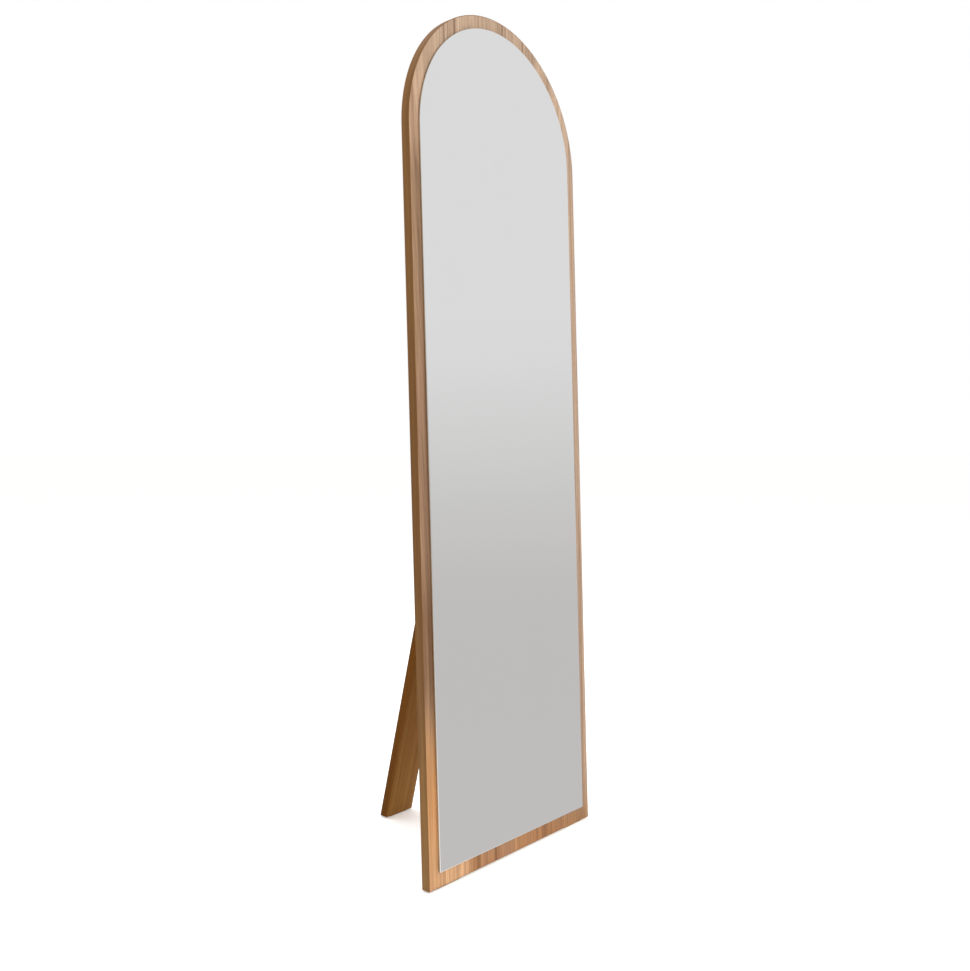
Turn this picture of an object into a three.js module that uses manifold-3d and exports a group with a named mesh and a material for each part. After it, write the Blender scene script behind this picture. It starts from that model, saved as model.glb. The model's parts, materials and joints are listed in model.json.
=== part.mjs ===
// Arched floor mirror on a folding easel leg. Millimetres, +Z up, the mirror faces -Y.
//
// The mirror panel is drawn in its own frame: x across, y behind the panel's back face,
// z up along the panel. The leg is drawn in a frame on its hinge axis: x across,
// y towards the leg's back, z up along the leg.
import * as THREE from 'three';
import { mergeVertices } from 'three/addons/utils/BufferGeometryUtils.js';
import Module from 'manifold-3d';

const wasm = await Module();
wasm.setup();

// ---------- driving dimensions ----------
const GAP = 0.3;                  // air between pieces that touch

const PANEL_WIDTH = 500;
const PANEL_HEIGHT = 1600;
const PANEL_THICKNESS = 18;
const PANEL_LEAN = THREE.MathUtils.degToRad(2.06);
const BAND_THICKNESS = 1;         // edge banding on panel and leg

const MARGIN = 25;                // wood showing beside and above the mirror
const BOTTOM_MARGIN = 28;         // wood showing below it
const GLASS_THICKNESS = 3;
const TAPE_THICKNESS = 0.7;
const TAPE_WIDTH = 20;
const TAPE_BOTTOM = 90;
const TAPE_TOP = 1360;
const TAPE_PLACES = [-165, -55, 55, 165];

const LEG_WIDTH = 78;
const LEG_THICKNESS = 18;
const LEG_CORNER = 2;             // eased bottom corners
const LEG_SPREAD = THREE.MathUtils.degToRad(15.5);   // angle between leg and panel, open
const LEG_FOLDED_GAP = 0.8;       // leg to panel when folded

const HINGE_HEIGHT = 1080;        // hinge axis, measured up the panel
const HINGE_OFFSET = 21;          // hinge centres to either side of the middle
const HINGE_LENGTH = 32;
const HINGE_LEAF = 14;            // axis to the leaf's outer edge
const LEAF_THICKNESS = 1.5;
const KNUCKLE_RADIUS = 3.2;
const KNUCKLE_MIDDLE = 12;        // length of the leg leaf's knuckle
const PIN_RADIUS = 1.5;
const HINGE_SCREW_SPACING = 20;

const STAY_PIVOT_DROP = 150;      // bracket pivot below the hinge axis
const STAY_STUD_DROP = 600;       // leg stud below the hinge axis
const STAY_PIVOT_DEPTH = 10;      // bracket pivot behind the panel
const STAY_WIDTH = 14;
const STAY_THICKNESS = 2.5;
const STAY_SHANK_RADIUS = 2.5;    // rivet and stud shanks
const STAY_SLOT_RADIUS = 3;       // half the slot's width
const STAY_WASHER = 2;
const STAY_HEAD_RADIUS = 5;
const STAY_HEAD = 1.8;
const BRACKET_SHEET = 2;
const BRACKET_HEIGHT = 34;
const BRACKET_WIDTH = 24;
const BRACKET_SCREW_SPACING = 20;
const STUD_THREAD_RADIUS = 1.75;
const STUD_THREAD_LENGTH = 22;

const SCREW_LENGTH = 13;
const SCREW_HEAD_RADIUS = 3;
const SCREW_SHANK_RADIUS = 1.5;
const SCREW_TIP = 3;

const PAD_THICKNESS = 2;          // at its thin edge
const PANEL_PAD_WIDTH = 60;
const PANEL_PAD_OFFSET = 195;
const LEG_PAD_WIDTH = 52;
const PAD_INSET = 2;
const LEG_PAD_FRONT_INSET = 1;

const ROUND = 20;                 // sides of small round pieces
const ARCH_STEPS = 56;            // segments of the half-round top
const CUT_OVER = 1;               // how far a drill runs past the metal
const MERGE_TOLERANCE = 1e-4;

// ---------- worked-out dimensions ----------
const ARCH_RADIUS = PANEL_WIDTH / 2;
const ARCH_CENTRE = PANEL_HEIGHT - ARCH_RADIUS;
const HINGE_AXIS_DEPTH = GAP + KNUCKLE_RADIUS;
const LEG_FRONT = LEG_FOLDED_GAP - HINGE_AXIS_DEPTH;      // leg frame, y of the front face
const LEG_MIDDLE = LEG_FRONT + LEG_THICKNESS / 2;
const LEG_TOP = -KNUCKLE_RADIUS - GAP;                    // leg frame, z of the top end
const PANEL_LIFT = PAD_THICKNESS + GAP;                   // back bottom edge above the floor
const LEG_TILT = LEG_SPREAD - PANEL_LEAN;                 // leg from the vertical, open
const AXIS_HEIGHT = PANEL_LIFT + HINGE_HEIGHT * Math.cos(PANEL_LEAN)
  - HINGE_AXIS_DEPTH * Math.sin(PANEL_LEAN);
const LEG_BOTTOM = -(AXIS_HEIGHT + LEG_FRONT * Math.sin(LEG_TILT)) / Math.cos(LEG_TILT)
  + PAD_THICKNESS + GAP;                                  // leg frame, z of the front's bottom

// The stay's bar runs from the bracket pivot to the leg's stud.
const STAY_PIVOT = new THREE.Vector2(STAY_PIVOT_DEPTH, HINGE_HEIGHT - STAY_PIVOT_DROP);
const studAt = (fold) => new THREE.Vector2(LEG_MIDDLE, -STAY_STUD_DROP)
  .rotateAround(new THREE.Vector2(), LEG_SPREAD - fold)
  .add(new THREE.Vector2(HINGE_AXIS_DEPTH, HINGE_HEIGHT));
const STAY_OPEN = studAt(0).sub(STAY_PIVOT);
const STAY_FOLDED = studAt(LEG_SPREAD).sub(STAY_PIVOT);
const STAY_TILT = Math.atan2(STAY_OPEN.x, -STAY_OPEN.y);  // bar from the panel, open
const LEG_SIDE = LEG_WIDTH / 2;
const STAY_X = LEG_SIDE + GAP + STAY_WASHER + GAP;        // inner face of the bar
const BRACKET_X = STAY_X + STAY_THICKNESS + GAP;          // inner face of the bracket

// ---------- materials ----------
const material = (color, roughness, metalness) =>
  new THREE.MeshStandardMaterial({ color, roughness, metalness });
const woodFace = material(0xc79a6c, 0.55, 0);
const woodEdge = material(0x9a7148, 0.6, 0);
const silver = material(0xd6d8d8, 0.05, 1);
const foam = material(0xe8e6e0, 0.9, 0);
const zinc = material(0xb9bbbd, 0.35, 1);
const steel = material(0x9fa1a3, 0.3, 1);
const felt = material(0xb8a78c, 0.95, 0);

// ---------- solids ----------
function toSolid(geometry) {
  const bare = geometry.clone();
  bare.deleteAttribute('normal');
  bare.deleteAttribute('uv');
  const merged = mergeVertices(bare, MERGE_TOLERANCE);
  const mesh = new wasm.Mesh({
    numProp: 3,
    vertProperties: new Float32Array(merged.attributes.position.array),
    triVerts: new Uint32Array(merged.index.array),
  });
  return new wasm.Manifold(mesh);
}

function toGeometry(solid) {
  const mesh = solid.getMesh();
  const geometry = new THREE.BufferGeometry();
  geometry.setAttribute('position', new THREE.BufferAttribute(mesh.vertProperties, 3));
  geometry.setIndex(new THREE.BufferAttribute(mesh.triVerts, 1));
  geometry.computeVertexNormals();
  return geometry;
}

function cut(geometry, cutters) {
  return toGeometry(cutters.reduce((solid, cutter) => solid.subtract(toSolid(cutter)),
    toSolid(geometry)));
}

function join(geometries) {
  return toGeometry(geometries.map(toSolid).reduce((a, b) => a.add(b)));
}

// A plate from an outline in x and z, between two depths in y.
function plate(outline, front, back, curveSegments = ARCH_STEPS) {
  const options = { depth: back - front, bevelEnabled: false, curveSegments };
  return new THREE.ExtrudeGeometry(outline, options).rotateX(Math.PI / 2).translate(0, back, 0);
}

// A plate from an outline in y and z, between two places in x.
function sidePlate(outline, left, right) {
  const options = { depth: right - left, bevelEnabled: false, curveSegments: ROUND };
  return new THREE.ExtrudeGeometry(outline, options)
    .rotateX(Math.PI / 2).rotateZ(Math.PI / 2).translate(left, 0, 0);
}

function block(x0, x1, y0, y1, z0, z1) {
  return new THREE.BoxGeometry(x1 - x0, y1 - y0, z1 - z0)
    .translate((x0 + x1) / 2, (y0 + y1) / 2, (z0 + z1) / 2);
}

// A round piece along x, from [radius, x] pairs that start and end on the axis.
function turned(profile, y = 0, z = 0) {
  const points = profile.map(([radius, x]) => new THREE.Vector2(radius, x));
  return new THREE.LatheGeometry(points, ROUND).rotateZ(-Math.PI / 2).translate(0, y, z);
}

function rod(radius, x0, x1, y = 0, z = 0) {
  return turned([[0, x0], [radius, x0], [radius, x1], [0, x1]], y, z);
}

// A countersunk wood screw: head face at the origin, shank along -x.
// A clearance makes the cutter for its hole.
function screw(length, clearance = 0) {
  const head = SCREW_HEAD_RADIUS + clearance;
  const shank = SCREW_SHANK_RADIUS + clearance;
  const tip = -length - clearance;
  const profile = [[0, tip], [shank, tip + SCREW_TIP], [shank, shank - head], [head, 0]];
  if (clearance > 0) profile.push([head, clearance]);
  return turned([...profile, [0, clearance]]);
}

// ---------- outlines ----------
// Square at the bottom, half-round at the top.
function arch(halfWidth, bottom) {
  const outline = new THREE.Shape();
  outline.moveTo(-halfWidth, bottom);
  outline.lineTo(halfWidth, bottom);
  outline.lineTo(halfWidth, ARCH_CENTRE);
  outline.absarc(0, ARCH_CENTRE, halfWidth, 0, Math.PI, false);
  outline.closePath();
  return outline;
}

// The strip that runs up one side, over the arch and down the other side.
function archStrip(outer, inner) {
  const outline = new THREE.Shape();
  outline.moveTo(outer, 0);
  outline.lineTo(outer, ARCH_CENTRE);
  outline.absarc(0, ARCH_CENTRE, outer, 0, Math.PI, false);
  outline.lineTo(-outer, 0);
  outline.lineTo(-inner, 0);
  outline.lineTo(-inner, ARCH_CENTRE);
  outline.absarc(0, ARCH_CENTRE, inner, Math.PI, 0, true);
  outline.lineTo(inner, 0);
  outline.closePath();
  return outline;
}

// The leg from the front: square top corners, slightly eased bottom corners.
function legOutline(inset, PathClass = THREE.Shape) {
  const side = LEG_SIDE - inset;
  const top = LEG_TOP - inset;
  const bottom = LEG_BOTTOM + inset;
  const corner = LEG_CORNER - inset;
  const outline = new PathClass();
  outline.moveTo(side, top);
  outline.lineTo(-side, top);
  outline.lineTo(-side, bottom + corner);
  outline.absarc(corner - side, bottom + corner, corner, Math.PI, 1.5 * Math.PI, false);
  outline.absarc(side - corner, bottom + corner, corner, 1.5 * Math.PI, 2 * Math.PI, false);
  outline.closePath();
  return outline;
}

// Cuts the leg's bottom end parallel to the floor: its points drop toward the back face.
function slantEnd(geometry) {
  const points = geometry.attributes.position;
  const highest = LEG_BOTTOM + LEG_CORNER + CUT_OVER;
  for (let i = 0; i < points.count; i += 1) {
    const drop = (points.getY(i) - LEG_FRONT) * Math.tan(LEG_TILT);
    if (points.getZ(i) < highest) points.setZ(i, points.getZ(i) - drop);
  }
  return geometry;
}

// A bar or slot with round ends centred at two heights, or a circle where they are the same.
function barOutline(radius, from, to, PathClass = THREE.Shape) {
  const outline = new PathClass();
  outline.absarc(0, from, radius, 0, Math.PI, false);
  outline.absarc(0, to, radius, Math.PI, 2 * Math.PI, false);
  outline.closePath();
  return outline;
}

function polygon(points) {
  return new THREE.Shape(points.map(([y, z]) => new THREE.Vector2(y, z)));
}

// ---------- scene graph ----------
const mirror = new THREE.Group();
const panel = new THREE.Group();
panel.rotation.x = -PANEL_LEAN;
panel.position.z = PANEL_LIFT;
mirror.add(panel);

const leg = new THREE.Group();
leg.position.set(0, HINGE_AXIS_DEPTH, HINGE_HEIGHT);
leg.rotation.x = LEG_SPREAD;
panel.add(leg);

const stay = new THREE.Group();
stay.position.set(0, STAY_PIVOT.x, STAY_PIVOT.y);
stay.rotation.x = STAY_TILT;
panel.add(stay);

function add(group, name, geometry, finish) {
  const mesh = new THREE.Mesh(geometry, finish);
  mesh.name = name;
  group.add(mesh);
  return mesh;
}

// ---------- places of the screws ----------
const HINGE_CENTRES = { left: -HINGE_OFFSET, right: HINGE_OFFSET };
const SCREW_SIDES = { outer: -1, inner: 1 };
const LEAF_SCREW_REACH = (HINGE_LEAF + KNUCKLE_RADIUS + GAP) / 2;   // axis to screw centre
const LEAF_FACE = GAP + LEAF_THICKNESS;

// A panel screw points into the board along -y, a leg end screw points down along -z.
const intoPanel = (geometry, x, y, z) => geometry.rotateZ(Math.PI / 2).translate(x, y, z);
const intoLegEnd = (geometry, x, y, z) => geometry.rotateY(-Math.PI / 2).translate(x, y, z);

const hingeScrews = [];
for (const [side, centre] of Object.entries(HINGE_CENTRES)) {
  for (const [place, sign] of Object.entries(SCREW_SIDES)) {
    const outward = side === 'left' ? 1 : -1;
    const x = centre + outward * sign * HINGE_SCREW_SPACING / 2;
    hingeScrews.push({ side, place, x });
  }
}
const panelScrew = (spot, clearance) => intoPanel(screw(SCREW_LENGTH, clearance),
  spot.x, LEAF_FACE, HINGE_HEIGHT + LEAF_SCREW_REACH);
const legScrew = (spot, clearance) => intoLegEnd(screw(SCREW_LENGTH, clearance),
  spot.x, LEAF_SCREW_REACH, LEAF_THICKNESS - KNUCKLE_RADIUS);

const bracketScrews = { upper: 1, lower: -1 };
const bracketScrew = (sign, clearance) => intoPanel(screw(SCREW_LENGTH, clearance),
  BRACKET_X + (BRACKET_SHEET + BRACKET_WIDTH) / 2, GAP + BRACKET_SHEET,
  STAY_PIVOT.y + sign * BRACKET_SCREW_SPACING / 2);

// ---------- panel ----------
function buildPanel() {
  const inset = BAND_THICKNESS + GAP;
  const board = plate(arch(ARCH_RADIUS - inset, inset), -PANEL_THICKNESS, 0);
  const holes = [
    ...hingeScrews.map((spot) => panelScrew(spot, GAP)),
    ...Object.values(bracketScrews).map((sign) => bracketScrew(sign, GAP)),
  ];
  add(panel, 'panel_board', cut(board, holes), woodFace);

  const strip = archStrip(ARCH_RADIUS, ARCH_RADIUS - BAND_THICKNESS);
  add(panel, 'panel_side_and_arch_band', plate(strip, -PANEL_THICKNESS, 0), woodEdge);
  const bandEnd = ARCH_RADIUS - inset;
  add(panel, 'panel_bottom_band',
    block(-bandEnd, bandEnd, -PANEL_THICKNESS, 0, 0, BAND_THICKNESS), woodEdge);

  const tapeBack = -PANEL_THICKNESS - GAP;
  const tapeFront = tapeBack - TAPE_THICKNESS;
  TAPE_PLACES.forEach((x, i) => {
    const strap = block(x - TAPE_WIDTH / 2, x + TAPE_WIDTH / 2, tapeFront, tapeBack,
      TAPE_BOTTOM, TAPE_TOP);
    add(panel, `mirror_tape_${i + 1}`, strap, foam);
  });

  const glassBack = tapeFront - GAP;
  const pane = arch(ARCH_RADIUS - MARGIN, BOTTOM_MARGIN);
  add(panel, 'mirror_glass', plate(pane, glassBack - GLASS_THICKNESS, glassBack), silver);
}

// Wedge pads take up the lean, so that their undersides lie flat on the floor.
function buildPanelPads() {
  const floor = (y) => y * Math.tan(PANEL_LEAN) - PANEL_LIFT / Math.cos(PANEL_LEAN);
  const front = PAD_INSET - PANEL_THICKNESS;
  const back = -PAD_INSET;
  const wedge = polygon([[front, -GAP], [front, floor(front)], [back, floor(back)], [back, -GAP]]);
  for (const [side, sign] of [['left', -1], ['right', 1]]) {
    const middle = sign * PANEL_PAD_OFFSET;
    const pad = sidePlate(wedge, middle - PANEL_PAD_WIDTH / 2, middle + PANEL_PAD_WIDTH / 2);
    add(panel, `panel_foot_pad_${side}`, pad, felt);
  }
}

// ---------- hinges ----------
// Drawn about an axis at the origin, with the leaf's wood side at y = -KNUCKLE_RADIUS and the
// leaf running up along z. The panel leaf has the two outer knuckles, the leg leaf the middle one.
function hingeLeaf(centre, knuckles, cleared) {
  const left = centre - HINGE_LENGTH / 2;
  const right = centre + HINGE_LENGTH / 2;
  const wood = -KNUCKLE_RADIUS;
  const face = wood + LEAF_THICKNESS;
  const start = KNUCKLE_RADIUS + 2 * GAP;
  const pieces = [block(left, right, wood, face, start, HINGE_LEAF)];
  for (const [from, to] of knuckles) {
    pieces.push(block(centre + from, centre + to, wood, face, 0, HINGE_LEAF / 2));
    pieces.push(rod(KNUCKLE_RADIUS, centre + from, centre + to));
  }
  const pinHole = rod(PIN_RADIUS + GAP, left - CUT_OVER, right + CUT_OVER);
  return cut(join(pieces), [pinHole, ...cleared]);
}

function buildHinges() {
  const end = HINGE_LENGTH / 2;
  const middle = KNUCKLE_MIDDLE / 2;
  const toPanel = new THREE.Matrix4().makeTranslation(0, HINGE_AXIS_DEPTH, HINGE_HEIGHT);
  // The leg leaf lies on the leg's top end: its wood side faces down, and it runs back.
  const toLeg = new THREE.Matrix4().makeBasis(new THREE.Vector3(-1, 0, 0),
    new THREE.Vector3(0, 0, 1), new THREE.Vector3(0, 1, 0));

  for (const [side, centre] of Object.entries(HINGE_CENTRES)) {
    const screws = hingeScrews.filter((spot) => spot.side === side);
    const panelHoles = screws.map((spot) =>
      panelScrew(spot, GAP).applyMatrix4(toPanel.clone().invert()));
    const panelLeaf = hingeLeaf(centre, [[-end, -middle], [middle, end]], panelHoles);
    add(panel, `hinge_${side}_panel_leaf`, panelLeaf.applyMatrix4(toPanel), zinc);

    const legHoles = screws.map((spot) => legScrew(spot, GAP).applyMatrix4(toLeg.clone().invert()));
    const legLeaf = hingeLeaf(-centre, [[GAP - middle, middle - GAP]], legHoles);
    add(leg, `hinge_${side}_leg_leaf`, legLeaf.applyMatrix4(toLeg), zinc);

    const pin = rod(PIN_RADIUS, centre - end, centre + end).applyMatrix4(toPanel);
    add(panel, `hinge_${side}_pin`, pin, steel);
    for (const spot of screws) {
      add(panel, `hinge_${side}_panel_screw_${spot.place}`, panelScrew(spot), steel);
      add(leg, `hinge_${side}_leg_screw_${spot.place}`, legScrew(spot), steel);
    }
  }
}

// ---------- leg ----------
// The stud of the stay, in the leg's edge: head outside, shoulder through slot and washer,
// thread in the wood.
const STUD_TIP = LEG_SIDE - STUD_THREAD_LENGTH;
const STUD_HEAD_TOP = BRACKET_X + STAY_HEAD;
const stayStud = () => turned([
  [0, STUD_TIP], [STUD_THREAD_RADIUS, STUD_TIP + SCREW_TIP],
  [STUD_THREAD_RADIUS, LEG_SIDE + GAP], [STAY_SHANK_RADIUS, LEG_SIDE + GAP],
  [STAY_SHANK_RADIUS, BRACKET_X], [STAY_HEAD_RADIUS, BRACKET_X],
  [STAY_HEAD_RADIUS, STUD_HEAD_TOP], [0, STUD_HEAD_TOP],
], LEG_MIDDLE, -STAY_STUD_DROP);
const studHole = () => rod(STUD_THREAD_RADIUS + GAP, STUD_TIP - GAP, LEG_SIDE + CUT_OVER,
  LEG_MIDDLE, -STAY_STUD_DROP);

function buildLeg() {
  const back = LEG_FRONT + LEG_THICKNESS;
  const holes = [...hingeScrews.map((spot) => legScrew(spot, GAP)), studHole()];
  const board = slantEnd(plate(legOutline(BAND_THICKNESS + GAP), LEG_FRONT, back, ROUND / 2));
  add(leg, 'leg_board', cut(board, holes), woodFace);

  const ring = legOutline(0);
  ring.holes.push(legOutline(BAND_THICKNESS, THREE.Path));
  const band = slantEnd(plate(ring, LEG_FRONT, back, ROUND / 2));
  add(leg, 'leg_edge_band', cut(band, holes), woodEdge);

  const floor = (y) => -(AXIS_HEIGHT + y * Math.sin(LEG_TILT)) / Math.cos(LEG_TILT);
  const front = LEG_FRONT + LEG_PAD_FRONT_INSET;
  const rear = back - PAD_INSET;
  const top = (y) => floor(y) + PAD_THICKNESS;
  const strip = polygon([
    [front, top(front)], [front, floor(front)], [rear, floor(rear)], [rear, top(rear)],
  ]);
  add(leg, 'leg_foot_pad', sidePlate(strip, -LEG_PAD_WIDTH / 2, LEG_PAD_WIDTH / 2), felt);
}

// ---------- stay ----------
function buildStay() {
  const half = BRACKET_HEIGHT / 2;
  const pivotY = STAY_PIVOT.x;
  const pivotZ = STAY_PIVOT.y;
  const bore = STAY_SHANK_RADIUS + GAP;
  const outside = BRACKET_X + BRACKET_SHEET + GAP;

  // The bracket is an angle: a base on the panel and an ear with a rounded end.
  const ear = new THREE.Shape();
  const earRound = STAY_WIDTH / 2;
  ear.moveTo(GAP, pivotZ - half);
  ear.lineTo(pivotY, pivotZ - earRound);
  ear.absarc(pivotY, pivotZ, earRound, -Math.PI / 2, Math.PI / 2, false);
  ear.lineTo(GAP, pivotZ + half);
  ear.closePath();
  const base = block(BRACKET_X, BRACKET_X + BRACKET_WIDTH, GAP, GAP + BRACKET_SHEET,
    pivotZ - half, pivotZ + half);
  const angle = join([base, sidePlate(ear, BRACKET_X, BRACKET_X + BRACKET_SHEET)]);
  const bracketHoles = Object.values(bracketScrews).map((sign) => bracketScrew(sign, GAP));
  const earHole = rod(bore, BRACKET_X - CUT_OVER, outside + CUT_OVER, pivotY, pivotZ);
  add(panel, 'stay_bracket', cut(angle, [...bracketHoles, earHole]), zinc);
  for (const [place, sign] of Object.entries(bracketScrews)) {
    add(panel, `stay_bracket_screw_${place}`, bracketScrew(sign), steel);
  }

  const innerHead = STAY_X - GAP;
  const rivet = turned([
    [0, innerHead - STAY_HEAD], [STAY_HEAD_RADIUS, innerHead - STAY_HEAD],
    [STAY_HEAD_RADIUS, innerHead], [STAY_SHANK_RADIUS, innerHead],
    [STAY_SHANK_RADIUS, outside], [STAY_HEAD_RADIUS, outside],
    [STAY_HEAD_RADIUS, outside + STAY_HEAD], [0, outside + STAY_HEAD],
  ], pivotY, pivotZ);
  add(panel, 'stay_rivet', rivet, steel);

  // The slot ends one gap past the stud, open and folded.
  const slotLow = -STAY_OPEN.length() - GAP + (STAY_SLOT_RADIUS - STAY_SHANK_RADIUS);
  const slotHigh = -STAY_FOLDED.length() + GAP - (STAY_SLOT_RADIUS - STAY_SHANK_RADIUS);
  const bar = barOutline(STAY_WIDTH / 2, 0, slotLow);
  bar.holes.push(barOutline(bore, 0, 0, THREE.Path));
  bar.holes.push(barOutline(STAY_SLOT_RADIUS, slotHigh, slotLow, THREE.Path));
  add(stay, 'stay_bar', sidePlate(bar, STAY_X, STAY_X + STAY_THICKNESS), zinc);

  add(leg, 'stay_stud', stayStud(), steel);
  const washer = new THREE.Shape();
  washer.absarc(LEG_MIDDLE, -STAY_STUD_DROP, STAY_HEAD_RADIUS, 0, 2 * Math.PI, false);
  const washerHole = new THREE.Path();
  washerHole.absarc(LEG_MIDDLE, -STAY_STUD_DROP, bore, 0, 2 * Math.PI, false);
  washer.holes.push(washerHole);
  add(leg, 'stay_washer', sidePlate(washer, LEG_SIDE + GAP, STAY_X - GAP), zinc);
}

buildPanel();
buildPanelPads();
buildHinges();
buildLeg();
buildStay();

// The origin is on the floor, under the middle of the whole object.
const extent = new THREE.Box3().setFromObject(mirror, true);
mirror.position.y = -(extent.min.y + extent.max.y) / 2;

export default mirror;
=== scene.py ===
"""The looks of an arched floor mirror on a folding easel leg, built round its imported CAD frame.

Metres, +Z up, the mirror faces -Y. Panel pieces are drawn in the panel frame: x across,
y behind the panel's back face, z up the panel. Leg pieces are drawn in a frame on the hinge
axis and the stay's bar in a frame on its pivot, each with z along the piece.
"""
import json
import math

import bmesh
import bpy
from mathutils import Matrix, Vector


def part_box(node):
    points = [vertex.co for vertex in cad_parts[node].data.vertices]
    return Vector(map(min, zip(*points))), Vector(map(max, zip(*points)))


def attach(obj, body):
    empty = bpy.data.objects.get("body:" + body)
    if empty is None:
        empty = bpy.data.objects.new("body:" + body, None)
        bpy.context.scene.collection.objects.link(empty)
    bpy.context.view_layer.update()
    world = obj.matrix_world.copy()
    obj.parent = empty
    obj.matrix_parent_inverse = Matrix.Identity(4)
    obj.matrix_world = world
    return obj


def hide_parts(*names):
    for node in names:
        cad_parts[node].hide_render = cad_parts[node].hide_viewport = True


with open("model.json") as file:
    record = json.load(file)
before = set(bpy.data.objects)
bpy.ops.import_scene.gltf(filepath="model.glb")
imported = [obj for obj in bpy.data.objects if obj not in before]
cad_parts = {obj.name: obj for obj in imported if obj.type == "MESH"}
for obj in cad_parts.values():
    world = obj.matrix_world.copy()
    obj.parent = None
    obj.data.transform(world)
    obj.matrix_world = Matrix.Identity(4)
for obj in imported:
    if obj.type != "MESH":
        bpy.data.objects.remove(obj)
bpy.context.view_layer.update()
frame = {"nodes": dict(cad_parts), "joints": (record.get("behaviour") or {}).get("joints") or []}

# ---------- dimensions, in metres ----------
MM = 0.001
GAP = 0.3 * MM                    # air between pieces that touch
SEAM = 0.08 * MM                  # glue line between a board and its edge band
SKIN = 0.01 * MM                  # how far a joined form stops short of a shared face

PANEL_HALF = 250 * MM
PANEL_THICKNESS = 18 * MM
ARCH_CENTRE = 1350 * MM
BOARD_ARRIS = 0.1 * MM
BAND = 1 * MM                     # thickness of the edge bands
BAND_ARRIS = 0.7 * MM
LEAN = math.radians(2.06)

GLASS_HALF = 225 * MM
GLASS_BOTTOM = 28 * MM
GLASS_BACK = -19.3 * MM           # y of its back, in the panel's frame
GLASS_THICKNESS = 3 * MM
GLASS_ARRIS = 2.4 * MM            # width of the ground and polished edge
GLASS_ARRIS_DEPTH = 0.9 * MM
GLASS_BACK_ARRIS = 0.25 * MM

LEG_HALF = 39 * MM
LEG_FRONT = -2.7 * MM             # y of its front, in the leg's frame
LEG_THICKNESS = 18 * MM
LEG_BACK = LEG_FRONT + LEG_THICKNESS
LEG_CORNER = 2 * MM               # radius of its bottom corners

PAD_CORNER = 1.5 * MM
PAD_ROWS = ((0.0, 0.45 * MM), (0.25, 0.24 * MM), (0.5, 0.15 * MM), (0.75, 0.24 * MM),
            (1.0, 0.45 * MM))     # share of a pad's height, inset of its rim
PAD_FUZZ = 0.05 * MM              # unevenness of a pad's rim
GOLDEN_ANGLE = 2.39996            # in radians, spreads the fuzz without a pattern

KNUCKLE = 3.2 * MM                # outer radius of a hinge's knuckles
PIN = 1.5 * MM                    # radius of a hinge's pin
PIN_RIM = 0.3 * MM                # chamfer of the pin's ends
LEAF = 1.5 * MM                   # thickness of a hinge's leaves
LEAF_REACH = 14 * MM              # hinge axis to the far edge of a leaf
HINGE_OFFSET = 21 * MM            # middle of the leg to the middle of each hinge
HINGE_HALF = 16 * MM
MIDDLE_KNUCKLE_HALF = 6 * MM
SCREW_SPREAD = 10 * MM            # hinge middle to each screw
SCREW_REACH = 8.75 * MM           # hinge axis to each screw

COUNTERSINK = 3.2 * MM            # radius of a screw's hole at the face of the sheet
COUNTERSINK_DEPTH = 1.5 * MM
SCREW_BORE = 1.7 * MM
THREAD_PITCH = 1 * MM
THREAD_FLANK = 0.35 * MM          # length of each slope of a thread's ridge
SHANK = 2.5 * MM                  # radius of the rivet, and of the stud in the slot
HEAD = 5 * MM                     # radius of the domed heads of both
HEAD_HEIGHT = 1.8 * MM
PIVOT_BORE = 2.8 * MM             # radius of the holes round both

STAY_HALF = 7 * MM
STAY_BAR = (41.6 * MM, 44.1 * MM)  # x of its two faces
STUD_DROP = 600 * MM              # hinge axis to the stud, down the leg
SLOT_HALF = 3 * MM
BRACKET_IN = 44.4 * MM            # x of the inner face of its ear
BRACKET_SHEET = 2 * MM
BRACKET_WIDTH = 24 * MM
BRACKET_HALF_HEIGHT = 17 * MM
BRACKET_ARRIS = 0.25 * MM
BRACKET_SCREW_RISE = 10 * MM      # pivot to each of the bracket's screws

ARCH_STEPS = 160
STRAIGHT_STEPS = 30
BOTTOM_STEPS = 40
ROUND_STEPS = 48
SMALL_ROUND_STEPS = 32
ARRIS_STEPS = 6

# ---------- frames ----------
joints = {joint["name"]: joint for joint in frame["joints"]}
hinge_axis = Vector(joints["leg_fold"]["pos_m"])
stay_pivot = Vector(joints["stay_swing"]["pos_m"])
SPREAD = math.radians(joints["leg_fold"]["range_deg"][1])
LEG_TILT = SPREAD - LEAN          # leg from the vertical, open

foot_low, foot_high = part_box("panel_bottom_band")
PANEL = (Matrix.Translation((0, foot_high.y - BAND * math.sin(LEAN), foot_low.z))
         @ Matrix.Rotation(-LEAN, 4, "X"))
LEG = Matrix.Translation((0, hinge_axis.y, hinge_axis.z)) @ Matrix.Rotation(LEG_TILT, 4, "X")
STUD_IN_LEG = Vector((0, LEG_FRONT + LEG_THICKNESS / 2, -STUD_DROP))
stud_at = LEG @ STUD_IN_LEG
stay_tilt = math.atan2(stud_at.y - stay_pivot.y, stay_pivot.z - stud_at.z)
STAY = Matrix.Translation((0, stay_pivot.y, stay_pivot.z)) @ Matrix.Rotation(stay_tilt, 4, "X")
AXIS_IN_PANEL = PANEL.inverted() @ Vector((0, hinge_axis.y, hinge_axis.z))
PIVOT_IN_PANEL = PANEL.inverted() @ Vector((0, stay_pivot.y, stay_pivot.z))
INTO_PANEL = Matrix.Rotation(math.pi / 2, 4, "Z")  # a screw's head to the panel's back
INTO_LEG = Matrix.Rotation(-math.pi / 2, 4, "Y")  # a screw's head to the leg's top end


def local_box(node, place):
    """Lowest and highest corner of a CAD node in a piece's own frame."""
    points = [place.inverted() @ v.co for v in frame["nodes"][node].data.vertices]
    low = Vector(min(p[i] for p in points) for i in range(3))
    high = Vector(max(p[i] for p in points) for i in range(3))
    return low, high


LEG_TOP = -KNUCKLE - GAP
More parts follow.
